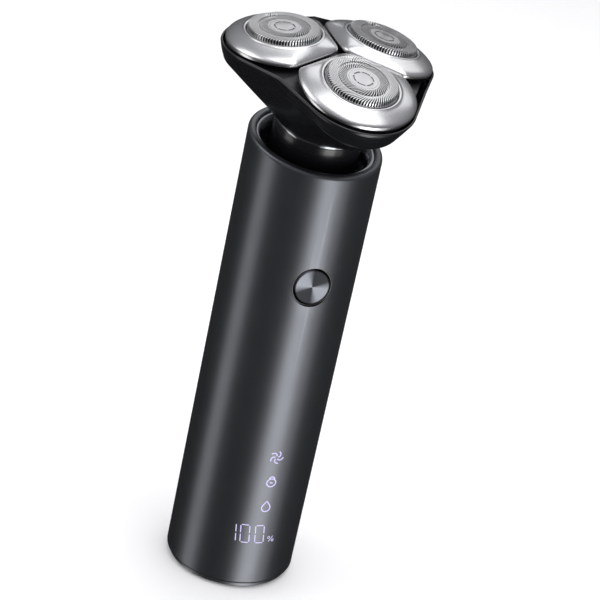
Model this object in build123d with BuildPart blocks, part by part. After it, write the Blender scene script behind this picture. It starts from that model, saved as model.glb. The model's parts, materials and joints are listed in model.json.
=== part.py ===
from build123d import *
import os
from math import atan2, cos, pi, radians, sin

# Rotary shaver with three floating heads on a gimballed neck.
# Origin: centre of the base. +Z runs up the handle, the button faces -Y.

# handle
body_radius = 19.5
body_height = 137.6            # base to the centre of the slanted rim
rim_slant = 10.9               # degrees, the rim is lower at the button side
shell_wall = 2.4
shell_bottom = 1.6
rim_round = 1.6
base_round = 1.0
inner_radius = body_radius - shell_wall
fit_gap = 0.1                  # between pieces that are pushed together

# base
pad_height = 1.0
pad_radius = 16.9
cap_radius = 18.4
cap_low = 0.5
plug_top = 8.0
screw_seat = 2.2
screw_length = 8.6
base_screw_x = 10.0
base_screw_y = 2.6
floor_high = 11.4

# power button
button_height = 100.6
button_radius = 5.45
button_face = 19.15            # distance of the face from the axis
button_travel = 0.4
bezel_front = 18.7
bezel_back = 16.6
bezel_radius = 5.9
flange_radius = 6.6
flange_low = 14.8
flange_high = 15.5
stem_end = 14.1
stem_radius = 1.5

# display
display_bottom = 13.5
display_top = 50.5
display_width = 16.0
guide_inner = 15.4

# charging inlet, a standard reversible receptacle in the back
port_height = 14.6
port_width = 8.94
port_thick = 3.2
port_wall = 0.3
port_depth = 7.0
port_face = 17.6
port_floor = 0.8
port_tongue = (6.7, 0.7)
port_rear_gap = 1.0

# inner frame, board, cell
frame_wall = 1.3
frame_outer = inner_radius - 0.2
frame_inner = frame_outer - frame_wall
frame_low = 10.2
frame_high = 114.0
board_y = -11.5
board_thick = 1.0
board_width = 17.0
board_low = 14.0
board_high = 106.0
cell_radius = 9.2
cell_low = 19.0
cell_high = 77.0
cell_y = 3.5

# motor
motor_radius = 10.2
motor_low = 86.0
motor_high = 114.0
can_wall = 1.2
rotor_radius = 8.2
shaft_radius = 0.75
running_gap = 0.05
mount_low = 114.0
mount_high = 116.5
motor_screw_x = 6.0

# neck and gimbal, heights along the head axis from the rim's centre
pivot_depth = -11.0
trunnion_radius = 0.9
gimbal_inner = 10.6
gimbal_outer = 13.0
gimbal_half = 1.6
support_inner = 13.6
neck_radius = 13.0
neck_foot_radius = 9.8
neck_bore = 10.8
neck_plate_low = 3.0
neck_top = 4.6
neck_foot = -13.4
neck_ring_radius = 12.9
neck_ring_top = 5.3
drive_radius = 1.5
joint_cup_radius = 3.0
joint_ball_radius = 1.6
support_top = -9.6
support_bottom = -14.6
support_floor = 119.5
support_hole = 8.0
collar_top = -0.9
collar_bottom = -9.5
collar_dish = (
    (0, -10), (14.3, -10), (14.4, -5.5), (14.9, -3.4), (15.7, -1.9), (16.5, -0.9), (16.5, 1), (0, 1))
neck_profile = (
    (8.0, neck_foot), (neck_foot_radius, neck_foot), (neck_foot_radius, -7.8), (neck_radius, -7.0),
    (neck_radius, neck_top), (2.4, neck_top), (2.4, neck_plate_low), (neck_bore, neck_plate_low),
    (neck_bore, -5.6), (8.0, -7.4))
hex_shaft = 2.9                # across the flats
hex_gap = 0.3

# head bowl: heights, and the reach and radius of the three tips of each section
bowl_low = 5.35
bowl_mid = 11.0
bowl_crease = 17.5
bowl_high = 27.5
bowl_wall = 1.5
bowl_sections = (
    (bowl_low, 0.6, 12.3), (bowl_mid, 9.2, 14.0), (bowl_crease, 17.4, 13.8), (bowl_high, 17.1, 16.3))

# three shaving units
unit_reach = 17.25             # from the head axis to the centre of each unit's cap
unit_height = 29.7
unit_tilt = 8.9                # degrees, each unit leans outwards
unit_angles = {"front": -90, "right": 30, "left": 150}
rim_low = -4.65
rim_edge = -3.75
rim_shoulder = -2.35
rim_crest = -1.35
rim_thick = 0.6
tip_radius = 16.6
tip_centre = 16.45
side_inset = 1.1               # half the gap between two units
corner_radius = 1.6
corner_least = 0.4
nose_radius = 4.0
crest_radius = 11.4
rim_bore = 10.45
foil_radius = 10.2
foil_groove = 7.2
foil_thick = 0.35
cap_hole = 4.2
bowl_cut = -6.3                # where the bowl ends under each unit
shoulder_inset = 1.2
cap_ring_radius = 2.7
foil_profile = (
    (10.9, -3.95), (10.9, -3.6), (foil_radius, -3.6), (foil_radius, -0.5), (9.75, 0), (7.6, 0),
    (7.45, -0.45), (6.95, -0.45), (6.8, 0), (cap_hole, 0), (cap_hole, -foil_thick), (6.6, -foil_thick),
    (6.7, -0.8), (7.7, -0.8), (7.8, -foil_thick), (9.5, -foil_thick), (9.85, -0.7), (9.85, -3.95))
cup_plate_low = -4.95
cup_plate_high = -4.0
cup_opening = 9.9
skirt_outer = 12.7
skirt_inner = 11.7
pin_radius = 0.7
carrier_outer = 10.8
carrier_inner = 8.4
cutter_low = -6.2
cutter_disc_low = -3.0
cutter_disc_high = -2.0
cutter_radius = 9.45
blade_high = -0.7
blade_count = 12
blade_thick = 0.4
blade_lean = 25
spring_radius = 9.3
spring_wire = 0.2
spring_rise = 1.3
spring_turns = 2
cup_low = -6.7
hinge_depth = -5.9
carrier_low = -6.9
carrier_high = -5.5
spring_low = -8.45
deck_high = -6.5
deck_low = -7.3
deck_opening = 13.3
seat_low = -14.0
seat_high = -8.75
seat_outer = 10.2
seat_inner = 8.4
screw_reach = 15.2
screw_depth = 5.0

# gears
sun_hub_radius = 3.4
gear_pin_radius = 1.2
spindle_hex = 3.0
gear_low = 15.0
gear_high = 17.0
sun_teeth = 21
planet_teeth = 30
gear_centres = 16.5
gear_module = 2 * gear_centres / (sun_teeth + planet_teeth)
frame_plate_low = 18.2
frame_plate_high = 19.4
spindle_radius = 1.6
spindle_hex_low = 24.0         # each spindle turns its cutter with this hexagon
spindle_hex_high = 25.4
spindle_neck = 1.25
charge_board_size = (10, 7, port_height - port_thick / 2 - floor_high - 0.02)

os.makedirs("parts", exist_ok=True)


def save(part, name):
    part.label = name
    export_step(part, f"parts/{name}.step")


def upright(plane):
    """The plane through a frame's x and z axes, with z up."""
    return Plane(origin=plane.origin, x_dir=plane.x_dir, z_dir=-plane.y_dir)


def spin_axis(plane):
    return Axis(plane.origin, plane.z_dir)


def disc(plane, low, high, outer, inner=0.0, mode=Mode.ADD):
    """A disc or a ring about the plane's axis, between two heights."""
    with BuildSketch(plane.offset(low)) as profile:
        Circle(outer)
        if inner > 0:
            Circle(inner, mode=Mode.SUBTRACT)
    extrude(profile.sketch, amount=high - low, mode=mode)


def turned(plane, points, mode=Mode.ADD):
    """A solid turned about the plane's axis from a closed profile of (radius, height)."""
    with BuildSketch(upright(plane)) as profile:
        with BuildLine():
            Polyline(*points, close=True)
        make_face()
    revolve(profile.sketch, axis=spin_axis(plane), mode=mode)


def hexagon(plane, low, high, flats, mode=Mode.ADD):
    with BuildSketch(plane.offset(low)) as profile:
        RegularPolygon(flats / 2, 6, major_radius=False)
    extrude(profile.sketch, amount=high - low, mode=mode)


def trunnions(plane, start, end, radius, mode=Mode.ADD):
    """A pair of pins along the plane's x axis, both ways from its origin."""
    for sign in (-1, 1):
        across = Plane(origin=plane.origin, x_dir=plane.y_dir, z_dir=plane.x_dir * sign)
        disc(across, start, end, radius, mode=mode)


def quarter_turn(plane):
    return Plane(origin=plane.origin, x_dir=plane.y_dir, z_dir=plane.z_dir)


def screw(plane, length, head_radius=1.9, head_height=1.2, radius=0.95):
    """A pan-head screw whose head rests on the plane, its shank running down."""
    disc(plane, -length, 0, radius)
    disc(plane, 0, head_height, head_radius)
    hexagon(plane, head_height / 2, head_height, radius * 1.4, mode=Mode.SUBTRACT)


base = Plane.XY
head = Plane(origin=(0, 0, body_height), x_dir=(1, 0, 0),
             z_dir=(0, -sin(radians(rim_slant)), cos(radians(rim_slant))))
pivot = head.offset(pivot_depth)
motor_y = pivot.origin.Y
motor_plane = Plane(origin=(0, motor_y, 0))
button_plane = Plane(origin=(0, 0, button_height), x_dir=(1, 0, 0), z_dir=(0, -1, 0))
port_plane = Plane(origin=(0, 0, port_height), x_dir=(-1, 0, 0), z_dir=(0, 1, 0))


def unit_plane(angle):
    """A shaving unit's frame: origin at its cap, x outwards from the head axis, z along the unit."""
    turn, lean = radians(angle), radians(unit_tilt)
    place = head.from_local_coords(Vector(unit_reach * cos(turn), unit_reach * sin(turn), unit_height))
    out = Vector(cos(lean) * cos(turn), cos(lean) * sin(turn), -sin(lean))
    up = Vector(sin(lean) * cos(turn), sin(lean) * sin(turn), cos(lean))
    start = head.from_local_coords(Vector(0, 0, 0))
    return Plane(origin=place, x_dir=head.from_local_coords(out) - start,
                 z_dir=head.from_local_coords(up) - start)


def gear_plane(angle):
    """A planet gear's frame, at the gears' lower face with x pointing at the sun gear."""
    turn = radians(angle)
    place = head.from_local_coords(Vector(gear_centres * cos(turn), gear_centres * sin(turn), gear_low))
    start = head.from_local_coords(Vector(0, 0, 0))
    inward = head.from_local_coords(Vector(-cos(turn), -sin(turn), 0)) - start
    return Plane(origin=place, x_dir=inward, z_dir=head.z_dir)


unit_planes = {side: unit_plane(angle) for side, angle in unit_angles.items()}
gear_planes = {side: gear_plane(angle) for side, angle in unit_angles.items()}

# Handle.

with BuildPart() as body_shell:
    with BuildSketch(base.offset(shell_bottom)):
        Circle(body_radius)
        Circle(inner_radius, mode=Mode.SUBTRACT)
    extrude(amount=body_height + body_radius)
    split(bisect_by=head, keep=Keep.BOTTOM)
    rim_edges = body_shell.edges().filter_by(GeomType.ELLIPSE).sort_by(SortBy.LENGTH)
    fillet(rim_edges[-1], radius=rim_round)
    fillet(body_shell.edges().group_by(Axis.Z)[0].sort_by(SortBy.LENGTH)[-1], radius=base_round)
    disc(button_plane, inner_radius - 3, body_radius + 1, bezel_radius + fit_gap / 2, mode=Mode.SUBTRACT)
    with BuildSketch(port_plane.offset(inner_radius - 1.5)):
        SlotOverall(port_width + 2 * fit_gap, port_thick + 2 * fit_gap)
    extrude(amount=shell_wall + 3, mode=Mode.SUBTRACT)
save(body_shell.part, "body_shell")

with BuildPart() as base_cap:
    disc(base, cap_low, shell_bottom, cap_radius)
    disc(base, shell_bottom, plug_top, inner_radius - fit_gap, inner_radius - 2.2)
    disc(base, shell_bottom, screw_seat + 0.8, inner_radius - 1)
    disc(base, cap_low, pad_height, pad_radius + fit_gap, mode=Mode.SUBTRACT)
    for x in (-base_screw_x, base_screw_x):
        screw_spot = Plane(origin=(x, base_screw_y, 0))
        disc(screw_spot, pad_height, screw_seat, 2.0, mode=Mode.SUBTRACT)
        disc(screw_spot, pad_height, plug_top, 1.05, mode=Mode.SUBTRACT)
save(base_cap.part, "base_cap")

with BuildPart() as base_pad:
    disc(base, 0, pad_height, pad_radius)
    chamfer(base_pad.edges().group_by(Axis.Z)[0], length=0.3)
save(base_pad.part, "base_pad")

with BuildPart() as base_screws:
    for x in (-base_screw_x, base_screw_x):
        screw_spot = Plane(origin=(x, base_screw_y, screw_seat), x_dir=(1, 0, 0), z_dir=(0, 0, -1))
        screw(screw_spot, screw_length)
save(base_screws.part, "base_screws")

# The inner frame is two half tubes; the back one has a floor that the base screws pull on.
with BuildPart() as frame_back:
    disc(base, frame_low, frame_high, frame_outer, frame_inner)
    disc(base, frame_low, floor_high, frame_outer - frame_wall / 2)
    for x in (-base_screw_x, base_screw_x):
        screw_spot = Plane(origin=(x, base_screw_y, 0))
        disc(screw_spot, screw_seat + 0.9, floor_high, 2.4)
        disc(screw_spot, screw_seat, floor_high, 0.95, mode=Mode.SUBTRACT)
    split(bisect_by=Plane.XZ.offset(-fit_gap / 2), keep=Keep.BOTTOM)
    with BuildSketch(port_plane):
        Rectangle(port_width + 3, port_thick + 1.2)
    extrude(amount=body_radius, mode=Mode.SUBTRACT)
save(frame_back.part, "frame_back")

with BuildPart() as frame_front:
    disc(base, frame_low, frame_high, frame_outer, frame_inner)
    split(bisect_by=Plane.XZ.offset(fit_gap / 2), keep=Keep.TOP)
    disc(button_plane, 0, body_radius, flange_radius + 0.5, mode=Mode.SUBTRACT)
    window_centre = (0, 0, (display_bottom + display_top) / 2)
    with BuildSketch(Plane(origin=window_centre, x_dir=(1, 0, 0), z_dir=(0, -1, 0))):
        Rectangle(display_width + 2 * fit_gap, display_top - display_bottom + 2 * fit_gap)
    extrude(amount=body_radius, mode=Mode.SUBTRACT)
save(frame_front.part, "frame_front")

with BuildPart() as main_board:
    with BuildSketch(Plane.XZ.offset(-board_y)):
        with Locations((0, (board_low + board_high) / 2)):
            RectangleRounded(board_width, board_high - board_low, 1.0)
    extrude(amount=board_thick)
    with BuildSketch(Plane.XZ.offset(-board_y)):
        with Locations((-4, 60), (4, 66), (0, 74)):
            Rectangle(4, 3)
    extrude(amount=-0.9)
save(main_board.part, "main_board")

# The light guide sits behind the wall of the shell, in front of a row of lamps on the board.
with BuildPart() as light_guide:
    disc(base, display_bottom, display_top, inner_radius - fit_gap / 2, guide_inner)
    with BuildSketch(Plane.XZ.offset(body_radius / 2)):
        with Locations((0, (display_bottom + display_top) / 2)):
            Rectangle(display_width, display_top - display_bottom)
    extrude(amount=body_radius, mode=Mode.INTERSECT)
save(light_guide.part, "light_guide")

with BuildPart() as display_lamps:
    with BuildSketch(Plane.XZ.offset(board_thick - board_y)):
        with Locations((0, (display_bottom + display_top) / 2)):
            with GridLocations(4.5, 5.5, 3, 6):
                Rectangle(1.6, 0.8)
    extrude(amount=0.6)
save(display_lamps.part, "display_lamps")

with BuildPart() as power_switch:
    switch_spot = (0, board_y - board_thick, button_height)
    with BuildSketch(Plane(origin=switch_spot, x_dir=(1, 0, 0), z_dir=(0, -1, 0))):
        RectangleRounded(4.5, 4.5, 0.4)
    extrude(amount=0.9)
    disc(button_plane, -board_y + board_thick + 0.9, -board_y + board_thick + 1.1, 1.0)
save(power_switch.part, "power_switch")

with BuildPart() as charge_port:
    with BuildSketch(port_plane.offset(port_face - port_depth)):
        SlotOverall(port_width, port_thick)
    extrude(amount=port_depth)
    with BuildSketch(port_plane.offset(port_face - port_depth + port_floor)):
        SlotOverall(port_width - 2 * port_wall, port_thick - 2 * port_wall)
    extrude(amount=port_depth, mode=Mode.SUBTRACT)
    with BuildSketch(port_plane.offset(port_face - port_depth + port_floor)):
        Rectangle(*port_tongue)
    extrude(amount=port_depth - port_floor - port_rear_gap)
save(charge_port.part, "charge_port")

with BuildPart() as charge_board:
    with Locations((0, port_face - port_depth, floor_high)):
        Box(*charge_board_size, align=(Align.CENTER, Align.CENTER, Align.MIN))
save(charge_board.part, "charge_board")

with BuildPart() as battery_cell:
    cell_plane = Plane(origin=(0, cell_y, 0))
    disc(cell_plane, cell_low, cell_high, cell_radius)
    fillet(battery_cell.edges().filter_by(GeomType.CIRCLE), radius=0.6)
    disc(cell_plane, cell_high, cell_high + 1.0, 3.0)
save(battery_cell.part, "battery_cell")

with BuildPart() as cell_cradle:
    cradle_inner = cell_radius + fit_gap
    for low in (cell_low + 6, cell_high - 12):
        disc(cell_plane, low, low + 6, cradle_inner + 1.3, cradle_inner)
    disc(cell_plane, cell_low - 2.0, cell_low - 0.3, cradle_inner + 1.3)
    with BuildSketch(base.offset(cell_low - 2.0)):
        with Locations((0, cell_y + cradle_inner + 0.65)):
            Rectangle(6, 1.3)
    extrude(amount=cell_high - cell_low - 4)
save(cell_cradle.part, "cell_cradle")

with BuildPart() as motor_can:
    disc(motor_plane, motor_low, motor_high, motor_radius)
    fillet(motor_can.edges().filter_by(GeomType.CIRCLE), radius=0.7)
    can_inner = motor_radius - can_wall
    disc(motor_plane, motor_low + can_wall, motor_high - can_wall, can_inner, mode=Mode.SUBTRACT)
    disc(motor_plane, motor_low + can_wall, motor_high + 1, shaft_radius + running_gap, mode=Mode.SUBTRACT)
    for x in (-motor_screw_x, motor_screw_x):
        disc(Plane(origin=(x, motor_y, 0)), motor_high - can_wall, motor_high, 0.95, mode=Mode.SUBTRACT)
save(motor_can.part, "motor_can")

with BuildPart() as motor_rotor:
    disc(motor_plane, motor_low + 2.5, motor_high - 2.5, rotor_radius)
    disc(motor_plane, motor_low + can_wall + 0.1, pivot.origin.Z, shaft_radius)
    with Locations(pivot.origin):
        Sphere(joint_ball_radius)
save(motor_rotor.part, "motor_rotor")

with BuildPart() as motor_mount:
    disc(base, mount_low, mount_high, frame_outer)
    disc(motor_plane, mount_low, mount_high, 3.0, mode=Mode.SUBTRACT)
    for x in (-motor_screw_x, motor_screw_x):
        disc(Plane(origin=(x, motor_y, 0)), mount_low, mount_high, 1.0, mode=Mode.SUBTRACT)
save(motor_mount.part, "motor_mount")

with BuildPart() as mount_screws:
    for x in (-motor_screw_x, motor_screw_x):
        screw(Plane(origin=(x, motor_y, mount_high)), mount_high - mount_low + can_wall)
save(mount_screws.part, "mount_screws")

# The neck support carries the gimbal: a vertical tube below, bored along the head axis above.
with BuildPart() as neck_support:
    disc(base, mount_high, body_height, frame_outer)
    split(bisect_by=head.offset(support_top), keep=Keep.BOTTOM)
    disc(base, mount_high, support_floor, frame_inner, mode=Mode.SUBTRACT)
    disc(head, support_bottom, 0, support_inner, mode=Mode.SUBTRACT)
    disc(motor_plane, mount_high, body_height, support_hole, mode=Mode.SUBTRACT)
    trunnions(pivot, 0, body_radius, trunnion_radius + running_gap, mode=Mode.SUBTRACT)
save(neck_support.part, "neck_support")

with BuildPart() as top_collar:
    disc(base, mount_high, body_height + body_radius, inner_radius - fit_gap)
    split(bisect_by=head.offset(collar_top), keep=Keep.BOTTOM)
    split(bisect_by=head.offset(collar_bottom), keep=Keep.TOP)
    turned(head, collar_dish, mode=Mode.SUBTRACT)
save(top_collar.part, "top_collar")

with BuildPart() as button_bezel:
    disc(button_plane, bezel_back, bezel_front, bezel_radius, button_radius + 0.15)
save(button_bezel.part, "button_bezel")

with BuildPart() as power_button:
    disc(button_plane, flange_low, button_face, button_radius)
    chamfer(power_button.edges().group_by(Axis.Y)[0], length=0.3)
    disc(button_plane, flange_low, flange_high, flange_radius)
    disc(button_plane, stem_end, flange_low, stem_radius)
save(power_button.part, "power_button")

# Gimbal and neck.

with BuildPart() as gimbal_ring:
    disc(pivot, -gimbal_half, gimbal_half, gimbal_outer, gimbal_inner)
    trunnions(pivot, gimbal_outer - 0.3, support_inner + 1.8, trunnion_radius)
    trunnions(quarter_turn(pivot), 0, body_radius, trunnion_radius + running_gap, mode=Mode.SUBTRACT)
save(gimbal_ring.part, "gimbal_ring")

with BuildPart() as neck_tube:
    turned(head, neck_profile)
    trunnions(quarter_turn(pivot), neck_foot_radius - 0.8, gimbal_outer - 0.4, trunnion_radius)
save(neck_tube.part, "neck_tube")

with BuildPart() as neck_ring:
    disc(head, neck_top, neck_ring_top, neck_ring_radius, 9.0)
    chamfer(neck_ring.edges().filter_by(GeomType.CIRCLE).sort_by(SortBy.LENGTH)[-1], length=0.2)
save(neck_ring.part, "neck_ring")

with BuildPart() as neck_magnet:
    disc(head, neck_plate_low - 2.4, neck_plate_low, neck_bore - fit_gap, 6.0)
save(neck_magnet.part, "neck_magnet")

with BuildPart() as neck_bearing:
    disc(head, -3.5, -1.0, neck_bore - fit_gap, drive_radius + running_gap)
save(neck_bearing.part, "neck_bearing")

with BuildPart() as drive_shaft:
    disc(head, -9.4, 4.0, drive_radius)
    hexagon(head, 3.6, 10.0, hex_shaft)
    disc(head, -13.0, -9.2, joint_cup_radius, joint_cup_radius - 0.8)
    disc(head, -9.4, -8.4, joint_cup_radius)
save(drive_shaft.part, "drive_shaft")

# Head.


def bowl_loft(inset, lift, mode=Mode.ADD):
    """The bowl's outer form, or its hollow when inset by the wall and lifted off the floor."""
    sections = []
    for height, reach, radius in bowl_sections:
        low = height + lift * (height == bowl_low)
        with BuildSketch(head.offset(low)) as section:
            with PolarLocations(reach, 3, start_angle=-90):
                Circle(radius - inset)
            make_hull()
        sections.append(section.sketch.face())
    return loft(sections, mode=mode)


with BuildPart() as bowl_form:
    bowl_loft(0, 0)

with BuildPart() as head_bowl:
    add(bowl_form.part)
    bowl_loft(bowl_wall, bowl_wall, mode=Mode.SUBTRACT)
    for side, angle in unit_angles.items():
        gear_spot = gear_planes[side]
        disc(gear_spot, -gear_low, -0.15, 2.8)
        with BuildSketch(head) as post:
            with PolarLocations(screw_reach, 1, start_angle=angle + 60):
                Circle(2.3)
        extrude(post.sketch, amount=frame_plate_low, mode=Mode.ADD)
    add(bowl_form.part, mode=Mode.INTERSECT)
    disc(head, bowl_low + bowl_wall, gear_low - 0.2, sun_hub_radius + 0.8, mode=Mode.SUBTRACT)
    disc(head, 0, bowl_high, sun_hub_radius + running_gap, mode=Mode.SUBTRACT)
    for side, angle in unit_angles.items():
        disc(gear_planes[side], -2.2, 0, gear_pin_radius + running_gap, mode=Mode.SUBTRACT)
        split(bisect_by=unit_planes[side].offset(bowl_cut), keep=Keep.BOTTOM)
        with BuildSketch(head.offset(frame_plate_low - screw_depth)) as hole:
            with PolarLocations(screw_reach, 1, start_angle=angle + 60):
                Circle(0.95)
        extrude(hole.sketch, amount=screw_depth, mode=Mode.SUBTRACT)
save(head_bowl.part, "head_bowl")

with BuildPart() as head_magnet:
    disc(head, bowl_low + bowl_wall + 0.02, bowl_low + bowl_wall + 1.0, 9.4, 6.0)
save(head_magnet.part, "head_magnet")

with BuildPart() as head_frame:
    with BuildSketch(head.offset(frame_plate_low)):
        with PolarLocations(bowl_sections[2][1], 3, start_angle=-90):
            Circle(bowl_sections[2][2] - bowl_wall - 0.2)
        make_hull()
    extrude(amount=frame_plate_high - frame_plate_low)
    for side in unit_angles:
        disc(unit_planes[side], seat_low, seat_high, seat_outer, seat_inner)
    split(bisect_by=head.offset(frame_plate_low), keep=Keep.TOP)
    disc(head, frame_plate_low, frame_plate_high, 4.0, mode=Mode.SUBTRACT)
    for side, angle in unit_angles.items():
        disc(gear_planes[side], 0, 6, spindle_radius + running_gap, mode=Mode.SUBTRACT)
        with BuildSketch(head.offset(frame_plate_low)) as hole:
            with PolarLocations(screw_reach, 1, start_angle=angle + 60):
                Circle(1.0)
        extrude(hole.sketch, amount=4, mode=Mode.SUBTRACT)
save(head_frame.part, "head_frame")


def bowl_inside(depth):
    """The bowl's hollow, filled up to a plane that lies this deep under each unit."""
    with BuildPart() as filling:
        bowl_loft(bowl_wall + fit_gap, 0)
        for plane in unit_planes.values():
            split(bisect_by=plane.offset(depth), keep=Keep.BOTTOM)
    return filling.part


# The deck closes the bowl under the three units, with an opening for each.
with BuildPart() as head_deck:
    add(bowl_inside(deck_high))
    add(bowl_inside(deck_low), mode=Mode.SUBTRACT)
    for plane in unit_planes.values():
        disc(plane, seat_low, 0, deck_opening, mode=Mode.SUBTRACT)
save(head_deck.part, "head_deck")

with BuildPart() as head_screws:
    for angle in unit_angles.values():
        turn = radians(angle + 60)
        reach = Vector(screw_reach * cos(turn), screw_reach * sin(turn), frame_plate_high)
        spot = head.from_local_coords(reach)
        length = frame_plate_high - frame_plate_low + screw_depth
        screw(Plane(origin=spot, x_dir=head.x_dir, z_dir=head.z_dir), length)
save(head_screws.part, "head_screws")


def gear(plane, teeth, thickness, phase):
    """A spur gear with straight-flanked teeth, the first one centred on the x axis plus the phase."""
    pitch = gear_module * teeth / 2
    root, tip = pitch - 1.1 * gear_module, pitch + 0.8 * gear_module
    half_root, half_tip = 0.36 * pi * gear_module / 2 + 0.22, 0.2 * pi * gear_module / 2 + 0.02
    with BuildSketch(plane) as profile:
        Circle(root)
        with PolarLocations(0, teeth, start_angle=phase):
            foot = root - 0.3
            Polygon((foot, -half_root), (tip, -half_tip), (tip, half_tip), (foot, half_root), align=None)
    extrude(profile.sketch, amount=thickness)


with BuildPart() as sun_gear:
    gear(head.offset(gear_low), sun_teeth, gear_high - gear_low, phase=-90)
    disc(head, bowl_low + 0.25, gear_low, sun_hub_radius)
    hexagon(head, bowl_low, 11.5, hex_shaft + hex_gap, mode=Mode.SUBTRACT)
save(sun_gear.part, "sun_gear")


def make_planet_gear(side):
    plane = gear_planes[side]
    with BuildPart() as planet:
        gear(plane, planet_teeth, gear_high - gear_low, phase=180 / planet_teeth)
        disc(plane, -1.9, 0, gear_pin_radius)
        disc(plane, 0, frame_plate_high + 0.5 - gear_low, spindle_radius)
        disc(plane, 0, spindle_hex_low - gear_low, spindle_neck)
        hexagon(plane, spindle_hex_low - gear_low, spindle_hex_high - gear_low, spindle_hex)
    return planet.part


# Shaving units.


def unit_outline(plane, height, inset=0.0):
    """One unit's outline: a round tip, two straight sides along its neighbours, a blunt nose."""
    along = Vector(cos(radians(60)), sin(radians(60)))
    across = Vector(sin(radians(60)), -cos(radians(60)))
    gap, radius = side_inset + inset, tip_radius - inset
    centre, shift = Vector(tip_centre, 0), Vector(unit_reach, 0)
    start = across * gap - centre
    run = (radius ** 2 - start.dot(across) ** 2) ** 0.5 - start.dot(along)
    upper = across * gap + along * run - shift
    lower = Vector(upper.X, -upper.Y)
    tip = centre + Vector(radius, 0) - shift
    nose = Vector(gap / sin(radians(60)), 0) - shift
    with BuildSketch(plane.offset(height)) as sketch:
        with BuildLine():
            ThreePointArc(lower, tip, upper)
            Line(upper, nose)
            Line(nose, lower)
        make_face()
        fillet(sketch.vertices().sort_by(Axis.X)[0], radius=nose_radius)
        fillet(sketch.vertices().sort_by(Axis.Y)[0], radius=max(corner_radius - inset, corner_least))
        fillet(sketch.vertices().sort_by(Axis.Y)[-1], radius=max(corner_radius - inset, corner_least))
    return sketch.sketch.face()


def crest(plane, height, radius, like):
    """A circle cut into arcs at the same angles as the corners of another outline."""
    arcs = []
    for edge in like.outer_wire().edges():
        angles = [(plane.to_local_coords(edge @ at)) for at in (0, 0.5, 1)]
        angles = [atan2(point.Y, point.X) for point in angles]
        spots = [Vector(radius * cos(turn), radius * sin(turn), height) for turn in angles]
        arcs.append([plane.from_local_coords(spot) for spot in spots])
    return Face(Wire([Edge.make_three_point_arc(*points) for points in arcs]))


def make_rim(plane):
    """The bright metal cover of one unit: an upright lip, then a full slope up to a round crest."""
    edge = unit_outline(plane, rim_edge)
    hollow = unit_outline(plane, rim_edge, rim_thick)
    with BuildPart() as rim:
        extrude(unit_outline(plane, rim_low), amount=rim_edge - rim_low)
        shoulder = unit_outline(plane, rim_shoulder, shoulder_inset)
        loft([edge, shoulder, crest(plane, rim_crest, crest_radius, edge)])
        skirt_hollow = unit_outline(plane, rim_low - 1, rim_thick)
        extrude(skirt_hollow, amount=rim_edge - rim_low + 1, mode=Mode.SUBTRACT)
        loft([hollow, unit_outline(plane, rim_shoulder - rim_thick, shoulder_inset + rim_thick),
              crest(plane, rim_crest - rim_thick, crest_radius - rim_thick / 2, hollow)], mode=Mode.SUBTRACT)
        disc(plane, rim_low, 0, rim_bore, mode=Mode.SUBTRACT)
    return rim.part


def make_foil(plane):
    """The foil: two raised tracks with a groove between them, an upright side and a flange."""
    with BuildPart() as foil:
        turned(plane, foil_profile)
    return foil.part


def make_foil_cap(plane):
    with BuildPart() as cap:
        disc(plane, -0.9, -foil_thick - 0.02, cap_hole + 0.4)
        disc(plane, -0.9, 0.0, cap_hole - 0.02)
        disc(plane, -0.35, 0.0, cap_ring_radius + 0.15, cap_ring_radius - 0.15, mode=Mode.SUBTRACT)
    return cap.part


def make_cup(plane):
    """The black carrier under the metal cover, with bearings for the trunnions in its skirt."""
    with BuildPart() as cup:
        extrude(unit_outline(plane, cup_plate_low, rim_thick + 0.15), amount=cup_plate_high - cup_plate_low)
        disc(plane, cup_plate_low, cup_plate_high, cup_opening, mode=Mode.SUBTRACT)
        disc(plane, cup_low, cup_plate_low, skirt_outer, skirt_inner)
        trunnions(quarter_turn(plane.offset(hinge_depth)), skirt_inner - 1, skirt_outer + 1,
                  pin_radius + running_gap, mode=Mode.SUBTRACT)
    return cup.part


def make_carrier(plane):
    with BuildPart() as carrier:
        disc(plane, carrier_low, carrier_high, carrier_outer, carrier_inner)
        trunnions(quarter_turn(plane.offset(hinge_depth)), carrier_outer - 0.4, skirt_outer - 0.3, pin_radius)
    return carrier.part


def make_spring(plane):
    """The open coil that holds a unit up."""
    with BuildPart() as spring:
        with BuildLine() as path:
            Helix(pitch=spring_rise / spring_turns, height=spring_rise, radius=spring_radius)
        with BuildSketch(Plane(origin=path.line @ 0, z_dir=path.line % 0)):
            Circle(spring_wire)
        sweep(path=path.line, is_frenet=True)
    return plane.offset(spring_low).location * spring.part


def make_cutter(plane):
    """A cutter: a driven hub, a disc, and two rings of leaning blades under the foil's tracks."""
    with BuildPart() as cutter:
        disc(plane, cutter_low, cutter_disc_low, 3.2)
        disc(plane, cutter_disc_low, cutter_disc_high, cutter_radius)
        hexagon(plane, cutter_low, cutter_disc_low - 0.2, spindle_hex + 2 * 0.45, mode=Mode.SUBTRACT)
        for inner, outer in ((4.95, 6.6), (7.9, cutter_radius - 0.1)):
            with BuildSketch(plane.offset(cutter_disc_high)) as blades:
                with PolarLocations((inner + outer) / 2, blade_count):
                    Rectangle(outer - inner, blade_thick, rotation=blade_lean)
            extrude(blades.sketch, amount=blade_high - cutter_disc_high)
    return cutter.part


for side, plane in unit_planes.items():
    save(make_planet_gear(side), f"planet_gear_{side}")
    save(make_rim(plane), f"rim_{side}")
    save(make_foil(plane), f"foil_{side}")
    save(make_foil_cap(plane), f"foil_cap_{side}")
    save(make_cup(plane), f"cup_{side}")
    save(make_carrier(plane), f"float_carrier_{side}")
    save(make_spring(plane), f"float_spring_{side}")
    save(make_cutter(plane), f"cutter_{side}")
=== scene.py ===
import bpy
import bmesh
import json
from math import cos, pi, radians, sin, sqrt
from mathutils import Matrix, Vector


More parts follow.
